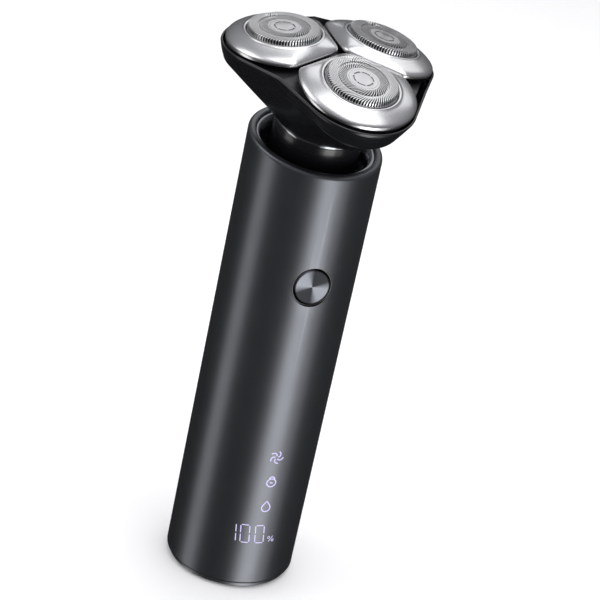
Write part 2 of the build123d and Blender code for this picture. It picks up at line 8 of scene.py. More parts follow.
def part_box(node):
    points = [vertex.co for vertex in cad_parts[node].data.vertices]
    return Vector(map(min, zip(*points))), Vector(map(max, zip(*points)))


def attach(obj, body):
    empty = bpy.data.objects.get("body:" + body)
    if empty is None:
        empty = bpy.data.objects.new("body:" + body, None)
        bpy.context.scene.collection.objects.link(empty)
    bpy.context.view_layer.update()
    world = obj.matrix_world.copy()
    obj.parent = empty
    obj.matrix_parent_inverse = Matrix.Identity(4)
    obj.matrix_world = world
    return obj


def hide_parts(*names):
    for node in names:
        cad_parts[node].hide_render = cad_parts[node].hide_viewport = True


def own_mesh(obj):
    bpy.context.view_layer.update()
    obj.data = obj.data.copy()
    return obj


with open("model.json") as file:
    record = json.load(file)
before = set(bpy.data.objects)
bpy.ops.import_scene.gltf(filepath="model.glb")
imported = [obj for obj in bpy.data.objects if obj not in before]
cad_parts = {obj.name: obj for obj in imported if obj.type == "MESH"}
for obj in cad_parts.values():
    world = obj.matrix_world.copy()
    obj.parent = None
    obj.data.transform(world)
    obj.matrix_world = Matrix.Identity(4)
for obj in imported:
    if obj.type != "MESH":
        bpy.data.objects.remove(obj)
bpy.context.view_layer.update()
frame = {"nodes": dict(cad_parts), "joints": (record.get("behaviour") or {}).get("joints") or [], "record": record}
nodes = frame["nodes"]
joints = {joint["name"]: joint for joint in frame["joints"]}
unitAngles = {"front": -90, "right": 30, "left": 150}
mm = 0.001
print("frame loaded:", len(nodes), "nodes")

# Frames of the slanted head and of the three shaving units, taken from the joints.
# Shapes below are in millimetres, each in its own frame.


def makeFrame(origin, up, across):
    z = Vector(up).normalized()
    x = (Vector(across) - z * Vector(across).dot(z)).normalized()
    return Matrix.Translation(Vector(origin)) @ Matrix((x, z.cross(x), z)).transposed().to_4x4()


def unitFrame(side):
    spin, tilt = joints["cutter_spin_" + side], joints["unit_tilt_" + side]
    return makeFrame(spin["pos_m"], spin["axis"], Vector(tilt["axis"]).cross(Vector(spin["axis"])))


pivotDepth = 11.0
headUp = Vector(joints["head_release"]["axis"])
headFrame = makeFrame(Vector(joints["drive_spin"]["pos_m"]) + headUp * pivotDepth * mm, headUp, (1, 0, 0))
unitFrames = {side: unitFrame(side) for side in unitAngles}
rimHeight = headFrame.translation.z / mm
rimSlope = -headUp.y / headUp.z          # the slanted rim rises away from the button
buttonLow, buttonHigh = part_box("power_button")
buttonFrame = makeFrame((0, 0, (buttonLow.z + buttonHigh.z) / 2), (0, -1, 0), (1, 0, 0))
portLow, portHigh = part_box("charge_port")
portFrame = makeFrame((0, 0, (portLow.z + portHigh.z) / 2), (0, 1, 0), (-1, 0, 0))
standFrame = Matrix.Identity(4)


# Mesh helpers.

def newObject(name, mesh):
    piece = bpy.data.objects.new(name, mesh)
    bpy.context.scene.collection.objects.link(piece)
    return piece


def smooth(mesh, sharpAngle):
    mesh.polygons.foreach_set("use_smooth", [True] * len(mesh.polygons))
    mesh.set_sharp_from_angle(angle=radians(sharpAngle))


def stackRings(rings, loop=False):
    # faces between rings of equal length, with the last ring joined to the first or both ends closed
    mesh = bmesh.new()
    rows = [[mesh.verts.new(point) for point in ring] for ring in rings]
    count = len(rows[0])
    for low, high in list(zip(rows, rows[1:])) + ([(rows[-1], rows[0])] if loop else []):
        for i in range(count):
            j = (i + 1) % count
            mesh.faces.new((low[i], low[j], high[j], high[i]))
    if not loop:
        mesh.faces.new(rows[0])
        mesh.faces.new(rows[-1])
    return mesh


def finishMesh(name, mesh, place=standFrame, sharpAngle=35):
    bmesh.ops.remove_doubles(mesh, verts=mesh.verts, dist=1e-4)
    bmesh.ops.dissolve_degenerate(mesh, edges=mesh.edges, dist=1e-5)
    bmesh.ops.recalc_face_normals(mesh, faces=mesh.faces)
    data = bpy.data.meshes.new(name)
    mesh.to_mesh(data)
    mesh.free()
    data.transform(place @ Matrix.Scale(mm, 4))
    smooth(data, sharpAngle)
    return newObject(name, data)


def circlePoints(radius, height, count):
    return [Vector((radius * cos(2 * pi * i / count), radius * sin(2 * pi * i / count), height))
            for i in range(count)]


def bend(start, knee, end, share):
    # a point on the soft curve from start to end that leans towards the knee
    return start * (1 - share) ** 2 + knee * 2 * share * (1 - share) + end * share * share


def roundProfile(profile, steps=4):
    # a closed profile of (radius, height), where a third value rounds that corner
    points = []
    for i, corner in enumerate(profile):
        here = Vector(corner[:2])
        size = corner[2] if len(corner) > 2 else 0
        if size == 0:
            points.append(here)
            continue
        before = (Vector(profile[i - 1][:2]) - here).normalized() * size
        after = (Vector(profile[(i + 1) % len(profile)][:2]) - here).normalized() * size
        points += [bend(here + before, here, here + after, k / steps) for k in range(steps + 1)]
    return points


def lathe(name, profile, place, count=128, sharpAngle=35):
    rings = [circlePoints(max(point.x, 0.0), point.y, count) for point in roundProfile(profile)]
    return finishMesh(name, stackRings(rings, loop=True), place, sharpAngle)


def joinPieces(name, pieces):
    mesh = bmesh.new()
    for piece in pieces:
        mesh.from_mesh(piece.data)
        bpy.data.objects.remove(piece)
    data = bpy.data.meshes.new(name)
    mesh.to_mesh(data)
    mesh.free()
    return newObject(name, data)


def bakePiece(piece):
    bpy.context.view_layer.update()
    data = bpy.data.meshes.new_from_object(piece.evaluated_get(bpy.context.evaluated_depsgraph_get()))
    piece.modifiers.clear()
    piece.data = data
    return piece


def cutAway(piece, cutter, sharpAngle=35):
    change = piece.modifiers.new("cut", "BOOLEAN")
    change.object = cutter
    change.operation = "DIFFERENCE"
    change.solver = "EXACT"
    bakePiece(piece)
    bpy.data.objects.remove(cutter)
    smooth(piece.data, sharpAngle)
    return piece


def fit(piece, body, material, slotName, *replaced):
    piece.data.materials.clear()
    piece.data.materials.append(material)
    piece.data.polygons.foreach_set("material_index", [0] * len(piece.data.polygons))
    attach(piece, body)
    if replaced:
        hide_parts(*replaced)
    return piece


# Geometry Nodes: a small shape repeated round the z axis.

def buildRoundTree():
    tree = bpy.data.node_groups.new("repeatRound", "GeometryNodeTree")
    sockets = (("Shape", "INPUT", "Geometry"), ("Count", "INPUT", "Int"), ("Start", "INPUT", "Float"),
               ("Finish", "INPUT", "Material"), ("Result", "OUTPUT", "Geometry"))
    for name, way, kind in sockets:
        tree.interface.new_socket(name, in_out=way, socket_type="NodeSocket" + kind)
    add, link = tree.nodes.new, tree.links.new
    source, result = add("NodeGroupInput"), add("NodeGroupOutput")
    points, index = add("GeometryNodePoints"), add("GeometryNodeInputIndex")
    step, turn, spin = add("ShaderNodeMath"), add("ShaderNodeMath"), add("ShaderNodeCombineXYZ")
    copies, real = add("GeometryNodeInstanceOnPoints"), add("GeometryNodeRealizeInstances")
    paint = add("GeometryNodeSetMaterial")
    step.operation, turn.operation = "DIVIDE", "MULTIPLY_ADD"
    step.inputs[0].default_value = 2 * pi
    link(source.outputs["Count"], points.inputs["Count"])
    link(source.outputs["Count"], step.inputs[1])
    link(index.outputs[0], turn.inputs[0])
    link(step.outputs[0], turn.inputs[1])
    link(source.outputs["Start"], turn.inputs[2])
    link(turn.outputs[0], spin.inputs["Z"])
    link(points.outputs[0], copies.inputs["Points"])
    link(source.outputs["Shape"], copies.inputs["Instance"])
    link(spin.outputs[0], copies.inputs["Rotation"])
    link(copies.outputs[0], real.inputs[0])
    link(real.outputs[0], paint.inputs["Geometry"])
    link(source.outputs["Finish"], paint.inputs["Material"])
    link(paint.outputs[0], result.inputs[0])
    return tree


roundTree = buildRoundTree()


def repeatRound(shape, count, material, place, start=0.0):
    # the shape is made about the origin's z axis, repeated, then put in its place
    change = shape.modifiers.new("round", "NODES")
    change.node_group = roundTree
    sockets = {item.name: item.identifier for item in roundTree.interface.items_tree}
    change[sockets["Count"]] = count
    change[sockets["Start"]] = start
    change[sockets["Finish"]] = material
    bakePiece(shape)
    shape.data.transform(place)
    return shape


def sweepBar(path, halfWidth, halfDepth):
    # a thin bar along (radius, height, turn in degrees), square in section
    rings = []
    for i, (radius, height, turn) in enumerate(path):
        before, after = path[max(i - 1, 0)], path[min(i + 1, len(path) - 1)]
        run = Vector((after[0] - before[0], after[1] - before[1])).normalized()
        angle, ring = radians(turn), []
        for across, deep in ((-1, -1), (1, -1), (1, 1), (-1, 1)):
            r, z = radius - run.y * deep * halfDepth, height + run.x * deep * halfDepth
            side = across * halfWidth
            ring.append(Vector((r * cos(angle) - side * sin(angle), r * sin(angle) + side * cos(angle), z)))
        rings.append(ring)
    return finishMesh("bar", stackRings(rings), sharpAngle=25)


# Shader groups that several finishes share.

def newShaderGroup(name, inputs, outputs):
    group = bpy.data.node_groups.new(name, "ShaderNodeTree")
    for label, kind in inputs:
        group.interface.new_socket(label, in_out="INPUT", socket_type="NodeSocket" + kind)
    for label, kind in outputs:
        group.interface.new_socket(label, in_out="OUTPUT", socket_type="NodeSocket" + kind)
    return group, group.nodes.new("NodeGroupInput").outputs, group.nodes.new("NodeGroupOutput").inputs


def calc(tree, operation, *values):
    node = tree.nodes.new("ShaderNodeMath")
    node.operation = operation
    for socket, value in zip(node.inputs, values):
        if isinstance(value, (int, float)):
            socket.default_value = value
        else:
            tree.links.new(value, socket)
    return node.outputs[0]


def vectorCalc(tree, operation, *values):
    node = tree.nodes.new("ShaderNodeVectorMath")
    node.operation = operation
    for socket, value in zip([s for s in node.inputs if s.enabled], values):
        if isinstance(value, (int, float, tuple, Vector)):
            socket.default_value = value
        else:
            tree.links.new(value, socket)
    return node.outputs[0]


def blendColour(tree, share, first, second):
    node = tree.nodes.new("ShaderNodeMix")
    node.data_type = "RGBA"
    for socket, value in ((node.inputs[0], share), (node.inputs[6], first), (node.inputs[7], second)):
        if isinstance(value, (int, float, tuple)):
            socket.default_value = value
        else:
            tree.links.new(value, socket)
    return node.outputs[2]


def noise(tree, point, scale, detail=3):
    node = tree.nodes.new("ShaderNodeTexNoise")
    node.inputs["Detail"].default_value = detail
    tree.links.new(point, node.inputs["Vector"])
    if isinstance(scale, (int, float)):
        node.inputs["Scale"].default_value = scale
    else:
        tree.links.new(scale, node.inputs["Scale"])
    return node.outputs["Fac"]


grainScales = {"cloud": 45, "smear": 170, "edgeFrom": 0.52, "edgeGain": 12, "smearRough": 0.2}
lineScales = {"fine": 1.0, "broad": 0.2, "fineShare": 0.6, "broadShare": 0.4, "stretch": 0.05}


def buildGrain():
    # moulding grain, cloudy tone, faint dust and rubbed edges
    group, source, result = newShaderGroup(
        "mouldedGrain",
        (("Point", "Vector"), ("Base", "Color"), ("Rubbed", "Color"), ("Rough", "Float"),
         ("Fineness", "Float"), ("Grain", "Float"), ("Tone", "Float"), ("Wear", "Float")),
        (("Color", "Color"), ("Roughness", "Float"), ("Height", "Float")))
    fine = noise(group, source["Point"], source["Fineness"])
    cloud = noise(group, source["Point"], grainScales["cloud"], 4)
    smear = noise(group, source["Point"], grainScales["smear"], 5)
    sharpness = group.nodes.new("ShaderNodeNewGeometry").outputs["Pointiness"]
    edge = calc(group, "SUBTRACT", sharpness, grainScales["edgeFrom"])
    edge = calc(group, "MULTIPLY", edge, grainScales["edgeGain"])
    edge = calc(group, "MULTIPLY", calc(group, "MINIMUM", calc(group, "MAXIMUM", edge, 0), 1), smear)
    level = calc(group, "MULTIPLY_ADD", calc(group, "SUBTRACT", cloud, 0.5), source["Tone"], 1.0)
    toned = group.nodes.new("ShaderNodeVectorMath")
    toned.operation = "SCALE"
    group.links.new(source["Base"], toned.inputs[0])
    group.links.new(level, toned.inputs["Scale"])
    worn = calc(group, "MULTIPLY", edge, source["Wear"])
    group.links.new(blendColour(group, worn, toned.outputs[0], source["Rubbed"]), result["Color"])
    spread = calc(group, "MULTIPLY_ADD", calc(group, "SUBTRACT", smear, 0.5), grainScales["smearRough"], 1.0)
    group.links.new(calc(group, "MULTIPLY", source["Rough"], spread), result["Roughness"])
    group.links.new(calc(group, "MULTIPLY", fine, source["Grain"]), result["Height"])
    return group


def buildBrushing():
    # fine lines where the point is stretched along them, over a softer unevenness
    group, source, result = newShaderGroup("fineBrushing", (("Point", "Vector"), ("Strength", "Float")),
                                           (("Height", "Float"), ("Level", "Float")))
    lines = noise(group, source["Point"], lineScales["fine"], 4)
    broad = noise(group, source["Point"], lineScales["broad"], 2)
    both = calc(group, "ADD", calc(group, "MULTIPLY", lines, lineScales["fineShare"]),
                calc(group, "MULTIPLY", broad, lineScales["broadShare"]))
    group.links.new(calc(group, "MULTIPLY", lines, source["Strength"]), result["Height"])
    group.links.new(calc(group, "MULTIPLY_ADD", calc(group, "SUBTRACT", both, 0.5), source["Strength"], 1.0),
                    result["Level"])
    return group


grainGroup, brushGroup = buildGrain(), buildBrushing()


def newMaterial(name):
    material = bpy.data.materials.new(name)
    material.use_nodes = True
    tree = material.node_tree
    return material, tree, tree.nodes["Principled BSDF"]


def placeGroup(tree, group, values):
    node = tree.nodes.new("ShaderNodeGroup")
    node.node_tree = group
    for label, value in values.items():
        if isinstance(value, (int, float, tuple)):
            node.inputs[label].default_value = value
        else:
            tree.links.new(value, node.inputs[label])
    return node.outputs


def objectPoint(tree):
    return tree.nodes.new("ShaderNodeTexCoord").outputs["Object"]


def pointIn(tree, place):
    # the point in a piece's own frame
    node = tree.nodes.new("ShaderNodeMapping")
    back = place.inverted()
    node.inputs["Location"].default_value = back.translation
    node.inputs["Rotation"].default_value = back.to_euler()
    tree.links.new(objectPoint(tree), node.inputs["Vector"])
    return node.outputs[0]


def addBump(tree, shader, height, depth):
    node = tree.nodes.new("ShaderNodeBump")
    node.inputs["Distance"].default_value = depth
    tree.links.new(height, node.inputs["Height"])
    tree.links.new(node.outputs[0], shader.inputs["Normal"])


def moulded(name, look):
    material, tree, shader = newMaterial(name)
    grain = placeGroup(tree, grainGroup, {
        "Point": objectPoint(tree), "Base": (*look["colour"], 1),
        "Rubbed": (*look.get("rubbed", look["colour"]), 1), "Rough": look["rough"],
        "Fineness": look.get("fineness", 4000.0), "Grain": look.get("grain", 0.4),
        "Tone": look.get("tone", 0.15), "Wear": look.get("wear", 0.0)})
    tree.links.new(grain["Color"], shader.inputs["Base Color"])
    tree.links.new(grain["Roughness"], shader.inputs["Roughness"])
    shader.inputs["Metallic"].default_value = look.get("metal", 0.0)
    shader.inputs["Coat Weight"].default_value = look.get("coat", 0.0)
    shader.inputs["Coat Roughness"].default_value = look.get("coatRough", 0.05)
    addBump(tree, shader, grain["Height"], look.get("depth", 0.00002))
    return material


def brushed(name, look, place, circular=True):
    # bright metal with fine lines round the frame's z axis, or straight along its x axis
    material, tree, shader = newMaterial(name)
    point, fine = pointIn(tree, place), look["fineness"]
    stretched = tree.nodes.new("ShaderNodeMapping")
    if circular:
        split, merge = tree.nodes.new("ShaderNodeSeparateXYZ"), tree.nodes.new("ShaderNodeCombineXYZ")
        flat = vectorCalc(tree, "MULTIPLY", point, (1, 1, 0))
        length = tree.nodes.new("ShaderNodeVectorMath")
        length.operation = "LENGTH"
        tree.links.new(flat, length.inputs[0])
        tree.links.new(point, split.inputs[0])
        tree.links.new(length.outputs["Value"], merge.inputs[0])
        tree.links.new(split.outputs[2], merge.inputs[2])
        tree.links.new(merge.outputs[0], stretched.inputs["Vector"])
        stretched.inputs["Scale"].default_value = (fine, fine, fine)
    else:
        tree.links.new(point, stretched.inputs["Vector"])
        stretched.inputs["Scale"].default_value = (fine * lineScales["stretch"], fine, fine)
    lines = placeGroup(tree, brushGroup, {"Point": stretched.outputs[0], "Strength": look["strength"]})
    tone = tree.nodes.new("ShaderNodeVectorMath")
    tone.operation = "SCALE"
    tone.inputs[0].default_value = look["colour"]
    tree.links.new(lines["Level"], tone.inputs["Scale"])
    tree.links.new(tone.outputs[0], shader.inputs["Base Color"])
    tree.links.new(calc(tree, "MULTIPLY", lines["Level"], look["rough"]), shader.inputs["Roughness"])
    shader.inputs["Metallic"].default_value = 1.0
    shader.inputs["Anisotropic"].default_value = look.get("anisotropy", 0.0)
    if look.get("anisotropy"):
        axis = (place.to_3x3() @ Vector((0, 0, 1))).normalized()
        out = vectorCalc(tree, "SUBTRACT", objectPoint(tree), tuple(place.translation))
        around = vectorCalc(tree, "NORMALIZE", vectorCalc(tree, "CROSS_PRODUCT", out, tuple(axis)))
        tree.links.new(around, shader.inputs["Tangent"])
    addBump(tree, shader, lines["Height"], look["depth"])
    return material


finishLooks = {
    "shell_metal": {"colour": (0.112, 0.117, 0.128), "rough": 0.34, "metal": 0.92, "fineness": 9000.0,
                    "grain": 0.35, "tone": 0.05, "rubbed": (0.4, 0.41, 0.44), "wear": 0.2, "depth": 0.00001},
    "dark_plastic": {"colour": (0.012, 0.012, 0.014), "rough": 0.45, "rubbed": (0.08, 0.08, 0.09),
                     "wear": 0.3},
    "gloss_black": {"colour": (0.005, 0.0055, 0.0065), "rough": 0.24, "grain": 0.02, "fineness": 900.0,
                    "tone": 0.3, "coat": 0.25, "coatRough": 0.12, "depth": 0.000001},
    "collar_gloss": {"colour": (0.085, 0.095, 0.115), "rough": 0.14, "grain": 0.06, "metal": 0.7,
                     "coat": 0.8, "coatRough": 0.04, "depth": 0.000002},
    "rubber": {"colour": (0.015, 0.015, 0.016), "rough": 0.8, "grain": 0.9, "fineness": 3500.0,
               "depth": 0.00004},
    "inner_plastic": {"colour": (0.10, 0.10, 0.11), "rough": 0.5, "grain": 0.6},
    "frame_plastic": {"colour": (0.40, 0.41, 0.42), "rough": 0.45, "grain": 0.6},
    "gear_plastic": {"colour": (0.70, 0.68, 0.60), "rough": 0.4, "grain": 0.4},
    "board_green": {"colour": (0.012, 0.09, 0.035), "rough": 0.3, "grain": 0.8, "fineness": 1800.0,
                    "tone": 0.6},
    "cell_wrap": {"colour": (0.02, 0.08, 0.26), "rough": 0.28, "coat": 0.4},
    "light_guide": {"colour": (0.55, 0.56, 0.60), "rough": 0.35, "grain": 0.3},
    "magnet": {"colour": (0.45, 0.45, 0.47), "rough": 0.22, "metal": 1.0, "grain": 0.3},
    "brass": {"colour": (0.60, 0.42, 0.16), "rough": 0.3, "metal": 1.0, "tone": 0.3},
}
steelLooks = {
    "screw_steel": {"colour": (0.35, 0.35, 0.36), "rough": 0.35, "fineness": 3000.0, "strength": 0.4,
                    "depth": 0.00001},
    "motor_steel": {"colour": (0.45, 0.45, 0.46), "rough": 0.3, "fineness": 3000.0, "strength": 0.4,
                    "depth": 0.00001},
}
headLooks = {
    "rim": {"colour": (0.66, 0.66, 0.67), "rough": 0.26, "fineness": 5000.0, "strength": 0.10,
            "depth": 0.000003},
    "foil": {"colour": (0.80, 0.80, 0.81), "rough": 0.32, "fineness": 7000.0, "strength": 0.15,
             "depth": 0.000003},
    "cap": {"colour": (0.55, 0.55, 0.56), "rough": 0.36, "fineness": 5000.0, "strength": 0.2,
            "depth": 0.000005, "anisotropy": 0.5},
    # the cutter's near-black colour is painted shade: darkened to stand for the shade under the foil slots, not
    # the blades' own steel colour
    "cutter": {"colour": (0.008, 0.008, 0.009), "rough": 0.6, "fineness": 4000.0, "strength": 0.4,
               "depth": 0.00001},
}
# The wedge values paint pale and dark wedges into the button face's colour: painted reflection, not the metal's
# own colour.
buttonLook = {"colour": (0.135, 0.142, 0.158), "rough": 0.3, "fineness": 16000.0, "strength": 0.35,
              "depth": 0.000006, "anisotropy": 0.6, "reflectionWedgeTurn": 148, "reflectionWedgeEdge": 1.0, "reflectionWedgeShare": 0.38,
              "reflectionWedgeDark": 0.14}
neckRingLook = {"colour": (0.35, 0.36, 0.38), "rough": 0.15, "fineness": 5000.0, "strength": 0.15,
                "depth": 0.000003}

finishes = {slot: moulded(slot, look) for slot, look in finishLooks.items()}
finishes.update({slot: brushed(slot, look, standFrame) for slot, look in steelLooks.items()})


def glow(name, colour, strength):
    # a lit segment, a little uneven along its length
    material, tree, shader = newMaterial(name)
    haze = noise(tree, objectPoint(tree), 700, 2)
    tint = blendColour(tree, haze, (*[part * 0.8 for part in colour], 1), (*colour, 1))
    tree.links.new(tint, shader.inputs["Emission Color"])
    shader.inputs["Base Color"].default_value = (*[part * 0.3 for part in colour], 1)
    shader.inputs["Roughness"].default_value = 0.4
    shader.inputs["Emission Strength"].default_value = strength
    return material


finishes["lamp"] = glow("displayGlow", (0.60, 0.55, 0.90), 0.95)
print("finishes ready")

# Every CAD node gets its slot's finish first; replaced nodes are hidden later.
for part in frame["record"]["subparts"]:
    cadMesh = nodes[part["node"]].data
    cadMesh.materials.clear()
    cadMesh.materials.append(finishes.get(part["material_slot"], finishes["inner_plastic"]))
    cadMesh.polygons.foreach_set("material_index", [0] * len(cadMesh.polygons))


# Handle: the tube with its slanted rounded rim, the base, the inlet.
handle = {"radius": 19.5, "inner": 17.1, "low": 1.6, "rimRound": 1.2, "innerRound": 0.8, "baseRound": 1.0,
          "baseSteps": 5, "rimSteps": 9, "innerSteps": 4, "around": 256, "buttonHole": 5.95,
          "portWide": 9.14, "portThick": 3.4, "holeNear": 4, "holeFar": 3, "holeAround": 128,
          "ringShares": (0.07, 0.12, 0.3, 0.5, 0.67, 0.79, 0.92)}


def tubeRing(radius, share=None, aboveBase=0.0, belowRim=None):
    ring = []
    for point in circlePoints(radius, 0, handle["around"]):
        top = rimHeight + rimSlope * point.y
        height = handle["low"] + aboveBase
        if belowRim is not None:
            height = top - belowRim
        elif share is not None:
            height = handle["low"] + (top - handle["low"]) * share
        ring.append(Vector((point.x, point.y, height)))
    return ring


def slotPoints(width, thick, height, count=48):
    shift, radius, points = (width - thick) / 2, thick / 2, []
    for i in range(count):
        turn = 2 * pi * (i + 0.5) / count
        end = shift if cos(turn) > 0 else -shift
        points.append(Vector((end + radius * cos(turn), radius * sin(turn), height)))
    return points


def makeShell():
    size, rings = handle, []
    for k in range(size["baseSteps"] + 1):
        turn = k / size["baseSteps"] * pi / 2
        rings.append(tubeRing(size["radius"] - size["baseRound"] * (1 - sin(turn)),
                              aboveBase=size["baseRound"] * (1 - cos(turn))))
    rings += [tubeRing(size["radius"], share=share) for share in size["ringShares"]]
    for k in range(size["rimSteps"] + 1):
        turn = k / size["rimSteps"] * pi / 2
        rings.append(tubeRing(size["radius"] - size["rimRound"] * (1 - cos(turn)),
                              belowRim=size["rimRound"] * (1 - sin(turn))))
    for k in range(size["innerSteps"] + 1):
        turn = k / size["innerSteps"] * pi / 2
        rings.append(tubeRing(size["inner"] + size["innerRound"] * (1 - sin(turn)),
                              belowRim=size["innerRound"] * (1 - cos(turn))))
    rings += [tubeRing(size["inner"], share=0.5), tubeRing(size["inner"])]
    shell = finishMesh("handle_tube", stackRings(rings, loop=True))
    depths = (size["inner"] - size["holeNear"], size["radius"] + size["holeFar"])
    hole = stackRings([circlePoints(size["buttonHole"], depth, size["holeAround"]) for depth in depths])
    cutAway(shell, finishMesh("hole", hole, buttonFrame))
    inlet = stackRings([slotPoints(size["portWide"], size["portThick"], depth) for depth in depths])
    cutAway(shell, finishMesh("hole", inlet, portFrame))
    roundShading(shell, size["radius"] * mm)
    return fit(shell, "handle", finishes["shell_metal"], "shell_metal", "body_shell")


def roundShading(piece, radius, reach=0.000005):
    # the wall's shading follows the true cylinder, also beside the holes
    data, normals = piece.data, []
    for face in data.polygons:
        for corner in face.loop_indices:
            spot = data.vertices[data.loops[corner].vertex_index].co
            out = Vector((spot.x, spot.y, 0))
            onWall = abs(out.length - radius) < reach and face.normal.dot(out.normalized()) > 0.99
            normals.append(out.normalized() if onWall else data.corner_normals[corner].vector.copy())
    data.normals_split_custom_set(normals)


baseParts = {"padRadius": 16.9, "padHigh": 1.0, "grooves": 3, "firstGroove": 11.4, "grooveStep": 1.1,
             "grooveHalf": 0.25, "grooveDepth": 0.3}


def makeBase():
    size = baseParts
    pad, half = [(0, 0)], size["grooveHalf"]
    for k in range(size["grooves"]):
        at = size["firstGroove"] + k * size["grooveStep"]
        pad += [(at - half, 0, 0.05), (at - half, size["grooveDepth"]), (at + half, size["grooveDepth"]),
                (at + half, 0, 0.05)]
    pad += [(size["padRadius"], 0, 0.3), (size["padRadius"], size["padHigh"]), (0, size["padHigh"])]
    fit(lathe("base_foot", pad, standFrame), "handle", finishes["rubber"], "rubber", "base_pad")
    nodes["base_cap"].data.materials[0] = finishes["shell_metal"]


# Power button: a turned face in a thin black ring.
buttonSize = {"stem": 14.1, "stemRadius": 1.5, "flangeLow": 14.8, "flangeHigh": 15.5, "flange": 6.6,
              "radius": 5.45, "face": 19.15, "bevel": 0.4, "lipTop": 0.12, "lipFoot": 0.2, "dish": 0.1}
bezelSize = {"outer": 5.9, "inner": 5.6, "low": 16.6, "high": 18.75}


def makeButton():
    size = buttonSize
    edge, face = size["radius"], size["face"]
    lip = edge - size["bevel"]
    profile = [(0, size["stem"]), (size["stemRadius"], size["stem"]), (size["stemRadius"], size["flangeLow"]),
               (size["flange"], size["flangeLow"]), (size["flange"], size["flangeHigh"]),
               (edge, size["flangeHigh"]), (edge, face - size["bevel"]), (lip, face, 0.1),
               (lip - size["lipTop"], face, 0.05), (lip - size["lipFoot"], face - size["dish"]),
               (0, face - size["dish"])]
    cap = lathe("button_cap", profile, buttonFrame)
    fit(cap, "button", turnedFaceWithPaintedReflection(), "button_metal", "power_button")
    ring = [(bezelSize["inner"], bezelSize["low"]), (bezelSize["outer"], bezelSize["low"]),
            (bezelSize["outer"], bezelSize["high"], 0.08), (bezelSize["inner"], bezelSize["high"], 0.08)]
    bezel = lathe("button_ring", ring, buttonFrame)
    fit(bezel, "handle", finishes["gloss_black"], "gloss_black", "button_bezel")


def turnedFaceWithPaintedReflection():
    # painted reflection: the turned face's colour is lightened and darkened by angle into two pale and two dark
    # wedges, standing in for the highlights its spun finish catches
    finish = brushed("turnedFace", buttonLook, buttonFrame)
    tree = finish.node_tree
    shader = tree.nodes["Principled BSDF"]
    ground = shader.inputs["Base Color"].links[0].from_socket
    point = pointIn(tree, buttonFrame)
    axis = radians(buttonLook["reflectionWedgeTurn"])
    along = tree.nodes.new("ShaderNodeVectorMath")
    across = tree.nodes.new("ShaderNodeVectorMath")
    for node, way in ((along, (cos(axis), sin(axis), 0)), (across, (-sin(axis), cos(axis), 0))):
        node.operation = "DOT_PRODUCT"
        node.inputs[1].default_value = way
        tree.links.new(point, node.inputs[0])
    first, second = (calc(tree, "POWER", calc(tree, "ABSOLUTE", node.outputs["Value"]), 2)
                     for node in (along, across))
    split = calc(tree, "DIVIDE", calc(tree, "SUBTRACT", first, second), calc(tree, "ADD", first, second))
    # painted reflection: pale wedges along one axis, painted shade across it
    paintedReflection = calc(tree, "MULTIPLY_ADD", split, buttonLook["reflectionWedgeEdge"], buttonLook["reflectionWedgeShare"])
    paintedReflection = calc(tree, "MINIMUM", calc(tree, "MAXIMUM", paintedReflection, 0), 1)
    level = calc(tree, "MULTIPLY_ADD", paintedReflection, 1 - buttonLook["reflectionWedgeDark"], buttonLook["reflectionWedgeDark"])
    toned = tree.nodes.new("ShaderNodeVectorMath")
    toned.operation = "SCALE"
    tree.links.new(ground, toned.inputs[0])
    tree.links.new(level, toned.inputs["Scale"])
    tree.links.new(toned.outputs[0], shader.inputs["Base Color"])
    return finish


print("handle")
makeShell()
makeBase()
makeButton()

# Display: lit strokes on the wall of the handle. Across is measured along the wall, up from the base.
display = {"thick": 0.03, "lift": 0.015, "line": 0.165}
fanIcon = {"spot": (0.4, 45.8), "blades": 5, "turn": 20, "hub": 0.5, "reach": 1.6, "curl": 0.95, "steps": 6}
lockIcon = {"spot": (0.4, 37.6), "drop": 0.35, "round": 1.4, "squash": 0.95, "slot": 0.45,
            "shackleRise": 0.75, "shackle": 0.85, "shackleStretch": 1.1}
dropIcon = {"spot": (0.4, 29.1), "drop": 0.4, "round": 1.32, "shoulder": (0.55, 1.15), "tip": 1.85}
digits = {"low": 16.5, "high": 22.5, "lean": 0.12, "line": 0.14, "gap": 0.28, "one": -7.0,
          "zeros": (-4.25, 0.25), "halfWide": 1.35, "steps": 6}
percent = {"across": 4.3, "rise": 1.1, "slash": (0.6, 0.95), "dot": (0.75, 0.55), "dotRound": 0.33,
           "dotStretch": 1.15, "slashLine": 0.8, "dotLine": 0.75}


def strokeMesh(points, halfLine, closed=False):
    # a flat ribbon through the points, wrapped on the handle and given a thickness
    size, radius = len(points), handle["radius"]
    rings = []
    for i, point in enumerate(points):
        before = points[i - 1] if closed or i > 0 else point
        after = points[(i + 1) % size] if closed or i < size - 1 else point
        run = (Vector(after) - Vector(before)).normalized()
        side = Vector((-run.y, run.x)) * halfLine
        ring = []
        for sign, lift in ((-1, 0), (1, 0), (1, 1), (-1, 1)):
            across, up = Vector(point) + side * sign
            r = radius - display["lift"] + lift * display["thick"]
            ring.append(Vector((r * sin(across / radius), -r * cos(across / radius), up)))
        rings.append(ring)
    return finishMesh("stroke", stackRings(rings, loop=closed), sharpAngle=60)


def arcPoints(centre, radius, start, end, steps, stretch=1.0):
    return [(centre[0] + radius * cos(radians(start + (end - start) * k / steps)),
             centre[1] + stretch * radius * sin(radians(start + (end - start) * k / steps)))
            for k in range(steps + 1)]


def makeDisplay():
    line = display["line"]
    strokes = fanStrokes(line) + lockStrokes(line) + [dropStroke(line)] + digitStrokes() + percentStrokes()
    fit(joinPieces("display_glow", strokes), "handle", finishes["lamp"], "lamp")


def fanStrokes(line):
    size, strokes = fanIcon, []
    across, up = size["spot"]
    for blade in range(size["blades"]):
        turn = radians(360 / size["blades"] * blade + size["turn"])
        curl = []
        for k in range(size["steps"] + 1):
            t = k / size["steps"]
            reach, way = size["hub"] + size["reach"] * t, turn + size["curl"] * t * t
            curl.append((across + reach * cos(way), up + reach * sin(way)))
        strokes.append(strokeMesh(curl, line))
    return strokes


